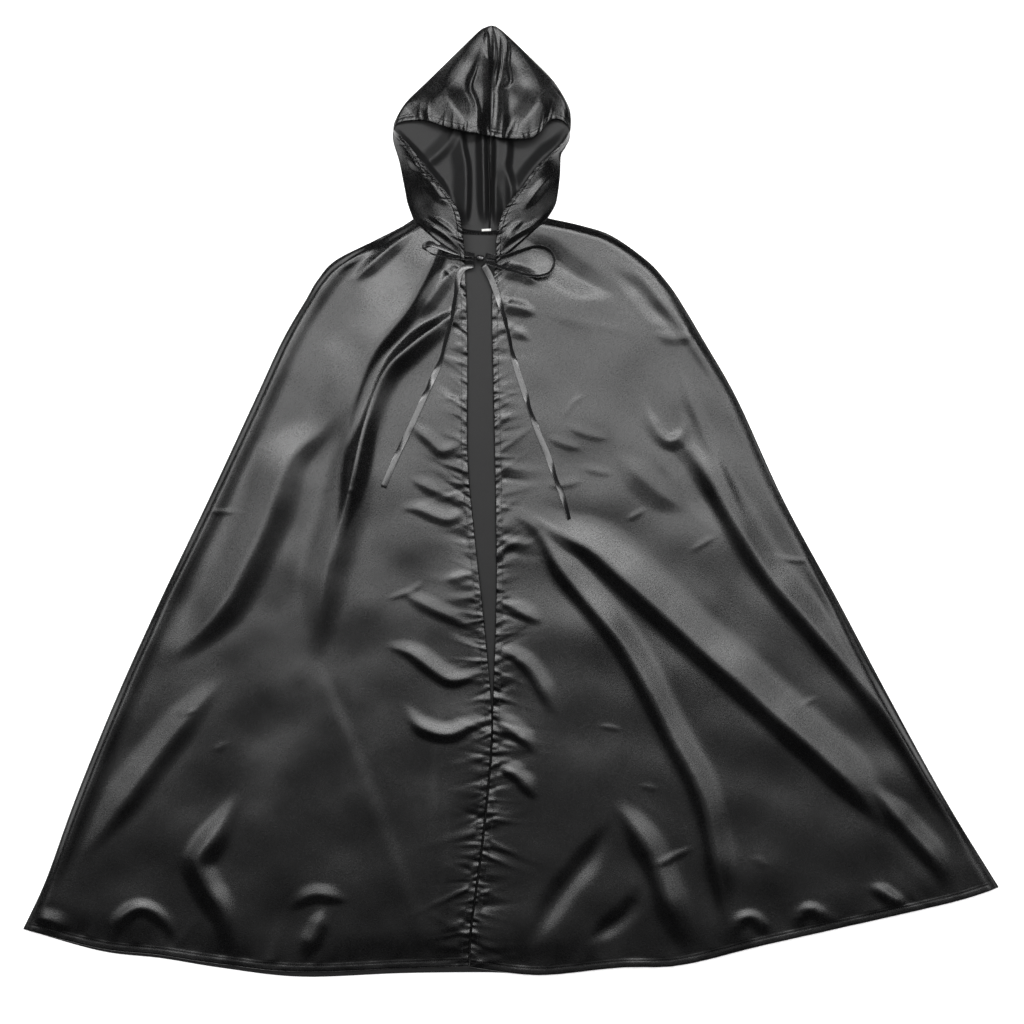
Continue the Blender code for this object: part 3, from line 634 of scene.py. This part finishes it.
def make_stitches(name, line, material, pitch=STITCH_PITCH):
    """A row of separate stitches lying along a line, each a thin spindle with four sides."""
    centres = evenly(line, pitch)
    ways = np.gradient(centres, axis=0)
    ways /= np.linalg.norm(ways, axis=1)[:, None]
    sides = np.cross((0, 0, 1), ways)
    sides /= np.linalg.norm(sides, axis=1)[:, None]
    ups = np.cross(ways, sides)
    long, wide, tall = STITCH_SIZE
    points, faces = [], []
    for centre, way, side, up in zip(centres, ways, sides, ups):
        first = len(points)
        ring = [(side, wide), (up, tall), (-side, wide), (-up, tall)]
        points.append(centre - way * long / 2)
        for shift in (-0.3, 0.3):
            points += [centre + way * long * shift + axis * reach for axis, reach in ring]
        points.append(centre + way * long / 2)
        for k in range(4):
            n = (k + 1) % 4
            faces.append((first, first + 1 + n, first + 1 + k))
            faces.append((first + 1 + k, first + 1 + n, first + 5 + n, first + 5 + k))
            faces.append((first + 9, first + 5 + k, first + 5 + n))
    return new_mesh(name, points, faces, [material])


def make_ribbon(name, line, roll, material, width=RIBBON_WIDTH, thickness=RIBBON_THICKNESS):
    """A flat ribbon along a line, turned about the line by a roll in degrees at each point."""
    ways = np.gradient(line, axis=0)
    ways /= np.linalg.norm(ways, axis=1)[:, None]
    flat = np.cross((0, 0, 1), ways)
    flat /= np.linalg.norm(flat, axis=1)[:, None]
    up = np.cross(ways, flat)
    angle = np.radians(roll)[:, None]
    across = flat * np.cos(angle) + up * np.sin(angle)
    normal = up * np.cos(angle) - flat * np.sin(angle)
    shares = np.array([-1, -0.92, -0.8, -0.4, 0, 0.4, 0.8, 0.92, 1])
    crown = (1 - shares ** 2) * RIBBON_CROWN
    points = (line[:, None, :] + across[:, None, :] * shares[None, :, None] * width / 2
              + normal[:, None, :] * crown[None, :, None])
    return make_sheet(name, points, False, material, material, thickness)


# ---------------------------------------------------------------- materials

def node(tree, kind, **values):
    """A shader node, with its inputs or else its properties set by name."""
    made = tree.nodes.new(kind)
    for key, value in values.items():
        if key in made.inputs:
            made.inputs[key].default_value = value
        else:
            setattr(made, key, value)
    return made


def cloth_material(name, dark, light, rough_low, rough_high, bump, specular, streak=0.0):
    """Woven cloth: fine grain in colour, gloss and bump, over a slow change of both.

    A satin's long floats spread its highlight across the cloth: streak is how much.
    """
    material = bpy.data.materials.new(name)
    material.use_nodes = True
    tree = material.node_tree
    shader = tree.nodes["Principled BSDF"]
    shader.inputs["Specular IOR Level"].default_value = specular
    if streak:
        shader.inputs["Anisotropic"].default_value = streak
        floats = node(tree, "ShaderNodeTangent", direction_type="UV_MAP", uv_map="flat")
        tree.links.new(floats.outputs["Tangent"], shader.inputs["Tangent"])
    place = node(tree, "ShaderNodeTexCoord")
    grain = node(tree, "ShaderNodeTexNoise", Scale=GRAIN_SCALE, Detail=3.0, Roughness=0.8)
    slow = node(tree, "ShaderNodeTexNoise", Scale=SLOW_SCALE, Detail=4.0, Roughness=0.6)
    for texture in (grain, slow):
        tree.links.new(place.outputs["Object"], texture.inputs["Vector"])
    slow_part = node(tree, "ShaderNodeMath", operation="MULTIPLY")
    slow_part.inputs[1].default_value = 1 - GRAIN_SHARE
    tree.links.new(slow.outputs["Fac"], slow_part.inputs[0])
    both = node(tree, "ShaderNodeMath", operation="MULTIPLY_ADD")
    both.inputs[1].default_value = GRAIN_SHARE
    tree.links.new(grain.outputs["Fac"], both.inputs[0])
    tree.links.new(slow_part.outputs[0], both.inputs[2])
    colour = node(tree, "ShaderNodeValToRGB")
    colour.color_ramp.elements[0].position = 0.35
    colour.color_ramp.elements[0].color = (*dark, 1)
    colour.color_ramp.elements[1].position = 0.65
    colour.color_ramp.elements[1].color = (*light, 1)
    tree.links.new(both.outputs[0], colour.inputs["Fac"])
    tree.links.new(colour.outputs["Color"], shader.inputs["Base Color"])
    rough = node(tree, "ShaderNodeMapRange")
    rough.inputs["From Min"].default_value = 0.3
    rough.inputs["From Max"].default_value = 0.7
    rough.inputs["To Min"].default_value = rough_low
    rough.inputs["To Max"].default_value = rough_high
    tree.links.new(both.outputs[0], rough.inputs["Value"])
    tree.links.new(rough.outputs["Result"], shader.inputs["Roughness"])
    relief = node(tree, "ShaderNodeBump", Strength=bump, Distance=GRAIN_RELIEF)
    tree.links.new(grain.outputs["Fac"], relief.inputs["Height"])
    tree.links.new(relief.outputs["Normal"], shader.inputs["Normal"])
    return material


def make_materials():
    return {key: cloth_material(*look) for key, look in CLOTHS.items()}


# ---------------------------------------------------------------- stage

def make_camera():
    data = bpy.data.cameras.new("camera")
    data.sensor_width = CAMERA_SENSOR
    data.lens = CAMERA_LENS
    item = bpy.data.objects.new("camera", data)
    item.location = CAMERA_PLACE
    bpy.context.scene.collection.objects.link(item)
    bpy.context.scene.camera = item


def make_light(name, place, target, size, power):
    data = bpy.data.lights.new(name, "AREA")
    data.shape = "RECTANGLE"
    data.size, data.size_y = size
    data.energy = power
    item = bpy.data.objects.new(name, data)
    item.location = place
    item.rotation_euler = (Vector(target) - Vector(place)).to_track_quat("-Z", "Y").to_euler()
    bpy.context.scene.collection.objects.link(item)


def make_floor():
    """The white surface that the cape lies on."""
    half = FLOOR_HALF
    corners = [(-half, -half, 0), (half, -half, 0), (half, half, 0), (-half, half, 0)]
    white = bpy.data.materials.new("floor")
    white.use_nodes = True
    shader = white.node_tree.nodes["Principled BSDF"]
    shader.inputs["Base Color"].default_value = (0.9, 0.9, 0.9, 1)
    shader.inputs["Roughness"].default_value = 0.9
    shader.inputs["Emission Color"].default_value = (1, 1, 1, 1)
    shader.inputs["Emission Strength"].default_value = 0.6
    floor = new_mesh("floor", corners, [(0, 1, 2, 3)], [white])
    floor.location.z = FLOOR_LEVEL


def make_stage():
    scene = bpy.context.scene
    scene.view_settings.view_transform = "Standard"
    world = bpy.data.worlds.new("studio")
    world.use_nodes = True
    backdrop = world.node_tree.nodes["Background"]
    backdrop.inputs["Color"].default_value = (1, 1, 1, 1)
    backdrop.inputs["Strength"].default_value = WORLD_STRENGTH
    scene.world = world
    make_floor()
    for name, light in LIGHTS.items():
        make_light(name, *light)


# ---------------------------------------------------------------- body of the cape


def bend_front(item):
    """Bake a piece's transform into its mesh."""
    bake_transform(item)


def make_front(side, looks):
    """A front panel from the slit to the side seam, with its turned edge and hem."""
    word = WORDS[side]
    patch = Patch(EDGE[side], SIDE[side], FRONT_NECK[side], FRONT_HEM[side])
    near = millimetres(0, 1.2, 3, 5, 7, 9, 10.4, 11.6, 13, 15, 18, 22)
    grid = Grid(patch, near, millimetres(0, 2, 4, 7, 11, 16, 22), near, columns=102, rows=400)
    grid.z = front_height(side, grid)
    item = make_sheet(f"front_{word}", grid.points(), side == LEFT, looks["satin"], looks["reverse"])
    bend_front(item)
    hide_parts(f"front_{word}_side", f"front_{word}_flap", f"front_hem_{word}_side",
                f"front_hem_{word}_flap", f"edge_band_{word}_top", f"edge_band_{word}", f"side_seam_{word}")
    return grid


def make_back(looks):
    """The back panel, reverse up, with its turned hem."""
    patch = Patch(SIDE[LEFT], SIDE[RIGHT], BACK_NECK, BACK_HEM)
    sides = millimetres(0, 4)
    grid = Grid(patch, sides, sides, millimetres(0, 1.5, 4, 8, 11, 12.5, 16), columns=100, rows=60)
    grid.z = BACK_LEVEL + BACK_HEM_RISE * (1 - ease(grid.from_bottom, HEM_WIDTH - 2 * MM, HEM_WIDTH + 2 * MM))
    item = make_sheet("back", grid.points(), False, looks["reverse"], looks["satin"])
    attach(item, "cape")
    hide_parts("back_panel", "back_hem")


# ---------------------------------------------------------------- hood

def bend_hood(item):
    """Bake a piece's transform into its mesh."""
    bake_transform(item)


def make_crown(looks):
    """The outside of the hood above the brow, with its turned brow hem."""
    left, right = CROWN_SIDE[LEFT], CROWN_SIDE[RIGHT]
    patch = Patch(left[::-1], right[::-1], [left[-1], TIP, right[-1]], BROW)
    near = millimetres(0, 0.8, 1.8, 3, 4.5, 6, 7, 7.8, 8.6, 9.6, 11)
    grid = Grid(patch, bottom=near, columns=200, rows=120)
    fullness = 1.5 + 0.8 * ease(grid.v, 0.55, 1.0)
    middle = 1 - np.abs(2 * grid.u - 1) ** fullness
    z = CROWN_LEVEL + (CROWN_TIP_RISE + CROWN_BROW_RISE * ease(grid.v, 0.0, 0.9)) * middle
    z = z + folds_height(grid.xy, CROWN_FOLDS) * np.minimum(1, 1.6 * middle)
    z = z + waves(grid.xy, *CROWN_WAVES) * middle
    z = z + puckers(grid.across, grid.from_bottom, *BROW_PUCKERS) * middle
    grid.z = z + turned_hem(grid.from_bottom, BROW_HEM_WIDTH)
    item = make_sheet("hood_crown", grid.points(), False, looks["satin"], looks["reverse"], turned=True)
    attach(item, "hood")
    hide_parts("hood_brow_hem_left", "hood_brow_hem_right")
    return grid


def make_hood_back(looks):
    """The back of the hood, which shows its reverse inside the face opening."""
    left = HOOD_SIDE[LEFT][:-1] + CROWN_SIDE[LEFT]
    right = HOOD_SIDE[RIGHT][:-1] + CROWN_SIDE[RIGHT]
    patch = Patch(left[::-1], right[::-1], [left[-1], TIP, right[-1]], [left[0], HOOD_FOOT, right[0]])
    grid = Grid(patch, bottom=millimetres(0, 3), columns=110, rows=130)
    level = INSIDE_LEVEL + INSIDE_RISE * ease(grid.from_top, 0, 0.03)
    grid.z = level + folds_height(grid.xy, INSIDE_FOLDS) * ease(grid.xy[..., 1], 0.004, 0.034)
    item = make_sheet("hood_back", grid.points(), False, looks["reverse"], looks["satin"])
    bend_hood(item)
    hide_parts("hood_panel_left", "hood_panel_right")
    return grid


def make_hood_side(side, looks):
    """The outside of the hood from the neck up to the brow, with its turned face hem."""
    word = WORDS[side]
    inner, outer = FACE_EDGE[side], HOOD_SIDE[side]
    patch = Patch(inner[::-1], outer[::-1], [inner[-1], outer[-1]], FRONT_NECK[side])
    grid = Grid(patch, columns=90, rows=170)
    rise = 1 - grid.u ** 1.7
    edge = HOOD_SIDE_RISE + HOOD_SIDE_ROLL * np.sin(math.pi * (1 - grid.v) ** 0.8)
    z = HOOD_SIDE_LEVEL + edge * rise
    z = z + folds_height(grid.xy, HOOD_SIDE_FOLDS[side]) * np.minimum(1, 1.8 * rise)
    seed, *shape = FACE_PUCKERS
    z = z + puckers(grid.down, grid.from_inner, seed + side, *shape)
    seed, *shape = HOOD_SIDE_WAVES
    z = z + waves(grid.xy, seed + side, *shape) * rise
    grid.z = z + turned_hem(grid.from_inner, pull=FACE_HEM_PULL)
    face, reverse = looks["satin"], looks["reverse"]
    item = make_sheet(f"hood_side_{word}", grid.points(), side == LEFT, face, reverse, turned=True)
    bend_hood(item)
    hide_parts(f"hood_gather_{word}", f"hood_face_hem_{word}")


def seam_x(y):
    """Where the crown seam runs, at a given height up the hood."""
    seam = smooth(CROWN_SEAM)
    return np.interp(y, seam[:, 0], seam[:, 1])


def make_crown_seam(grid, looks):
    """The seam line over the crown, in the valley between the two hood panels, and its stitches."""
    column = np.argmin(np.abs(grid.xy[:, :, 0] - seam_x(grid.xy[:, :, 1])), axis=1)
    line = grid.points()[np.arange(len(column)), column]
    line[:, 0] = seam_x(line[:, 1])
    line[:, 2] += CROWN_SEAM_LIFT
    line = evenly(line[4:], 0.002)
    item = make_ribbon("hood_crown_seam_line", line, np.zeros(len(line)), looks["thread"], *CROWN_SEAM_SIZE)
    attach(item, "hood")
    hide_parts("hood_crown_seam")
    tacks = make_stitches("hood_crown_stitches", line + STITCH_LIFT, looks["thread"], CROWN_STITCH_PITCH)
    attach(tacks, "hood")


def make_inside_seam(grid, looks):
    """The seam allowance that stands inside the hood, down the middle of its back."""
    y = np.linspace(0.006, 0.150, 74)
    x = 0.0118 + 0.0012 * np.sin(y * 34)
    height = rest_height(np.column_stack([x, y]), grid, 0.004) + INSIDE_SEAM_LIFT
    line = np.column_stack([x, y, height])
    turn = np.full(len(line), INSIDE_SEAM_TURN)
    item = make_ribbon("hood_inside_seam", line, turn, looks["reverse"], *INSIDE_SEAM_SIZE)
    bend_hood(item)


def rest_height(places, grid, reach):
    """Height of the highest cloth within reach of each place."""
    cloud = grid.points().reshape(-1, 3)
    found = []
    for place in places:
        near = np.hypot(cloud[:, 0] - place[0], cloud[:, 1] - place[1])
        hit = near < max(reach, near.min() * 1.001)
        found.append(cloud[hit, 2].max())
    return np.array(found)


def soften(values, times):
    """Values smoothed along their row, with both ends kept."""
    for _ in range(times):
        values = np.concatenate([values[:1], (values[:-2] + 2 * values[1:-1] + values[2:]) / 4, values[-1:]])
    return values


def make_tail(side, grid, looks):
    """The hanging end of one ribbon, lying on its front panel."""
    word = WORDS[side]
    flat = evenly(smooth(TAIL[side]), 0.004)
    lying = rest_height(flat, grid, 0.006)
    height = np.maximum(soften(lying, 30), soften(lying, 4)) + RIBBON_LIFT
    height[:8] = np.maximum(height[:8], np.linspace(KNOT_CENTRE[2] - 0.003, height[8], 8))
    line = np.column_stack([flat, height])
    turn = np.interp(np.linspace(0, 1, len(line)), *np.array(TAIL_TURN[side]).T)
    item = make_ribbon(f"tail_{word}", line, soften(turn, 3), looks["ribbon"])
    bend_front(item)
    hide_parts(f"bow_tail_{word}_top", f"bow_tail_{word}")


def make_loop(side, looks):
    """One loop of the bow: the left one is long and narrow, the right one is round and stands on its edge."""
    word = WORDS[side]
    flat = evenly(smooth(LOOP[side]), 0.0025)
    share = np.linspace(0, 1, len(flat))
    level, rise = LOOP_LEVEL[side]
    line = np.column_stack([flat, level + rise * np.sin(share * math.pi)])
    turn = np.interp(share, *np.array(LOOP_TURN[side]).T)
    item = make_ribbon(f"loop_{word}", line, turn, looks["ribbon"])
    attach(item, "cape")
    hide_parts(f"bow_loop_{word}")


def make_strap(side, looks):
    """The end of the ribbon that is sewn under the neck point, up to the knot."""
    word = WORDS[side]
    flat = evenly(smooth(STRAP[side]), 0.0015)
    line = np.column_stack([flat, np.linspace(STRAP_LEVEL, KNOT_CENTRE[2], len(flat))])
    turn = np.linspace(*STRAP_TURN, len(line))
    item = make_ribbon(f"strap_{word}", line, turn, looks["ribbon"], STRAP_WIDTH)
    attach(item, "cape")
    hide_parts(f"ribbon_end_{word}")


def make_knot(looks):
    """The knot: a band drawn tight round the strands, with the creases that the pull makes."""
    around, across = 40, 22
    points = []
    for k in range(across + 1):
        t = -1 + 2 * k / across
        waist = math.sqrt(max(0.02, 1 - abs(t) ** 2.6))
        for n in range(around):
            a = math.tau * n / around
            crease = 0.07 * math.sin(4.5 * math.pi * t + 1.3 * math.sin(a)) + 0.04 * math.sin(3 * a + 2 * t)
            girth = waist * (1 + crease)
            points.append((KNOT_CENTRE[0] + KNOT_HALF[0] * t + 0.0012 * math.sin(a),
                           KNOT_CENTRE[1] + KNOT_HALF[1] * girth * math.cos(a) - 0.0008 * t,
                           KNOT_CENTRE[2] + KNOT_HALF[2] * girth * math.sin(a)))
    faces = []
    for first in range(0, across * around, around):
        for n in range(around):
            m = (n + 1) % around
            faces.append((first + n, first + m, first + around + m, first + around + n))
    faces.append(tuple(reversed(range(around))))
    faces.append(tuple(across * around + n for n in range(around)))
    item = new_mesh("knot", points, faces, [looks["ribbon"]])
    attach(item, "cape")
    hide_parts("bow_knot")


def make_neck(looks):
    """The bound seam across the back of the neck, and the blank label sewn into it."""
    flat = evenly(smooth(NECK_LINE), 0.002)
    line = np.column_stack([flat, np.full(len(flat), BINDING_LEVEL)])
    turn = np.full(len(line), BINDING_TURN)
    binding = make_ribbon("neck_binding", line, turn, looks["satin"], *BINDING_SIZE)
    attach(binding, "cape")
    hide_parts("neck_seam")
    label_line = evenly(smooth(LABEL_LINE), 0.001)
    label = make_ribbon("label", label_line, np.zeros(len(label_line)), looks["label"], LABEL_WIDTH)
    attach(label, "cape")
    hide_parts("neck_label")


def make_front_stitches(side, grid, looks):
    """The stitching of a front's turned edge and of its hem."""
    word = WORDS[side]
    points = grid.points()
    column = int(np.argmin(np.abs(grid.from_inner[10] - STITCH_LINE)))
    row = int(np.argmin(np.abs(grid.from_bottom[:, 10] - STITCH_LINE)))
    lines = {"edge": points[:row + 1, column], "hem": points[row, column:-3]}
    for place, line in lines.items():
        item = make_stitches(f"{place}_stitches_{word}", line + HEM_STITCH_LIFT, looks["thread"])
        bend_front(item)


def main():
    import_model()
    make_camera()
    make_stage()
    looks = make_materials()
    make_back(looks)
    fronts = {}
    for side in (LEFT, RIGHT):
        fronts[side] = make_front(side, looks)
        make_hood_side(side, looks)
    for side in (LEFT, RIGHT):
        make_tail(side, fronts[side], looks)
        make_loop(side, looks)
        make_strap(side, looks)
        make_front_stitches(side, fronts[side], looks)
    make_knot(looks)
    make_inside_seam(make_hood_back(looks), looks)
    make_crown_seam(make_crown(looks), looks)
    make_neck(looks)


main()
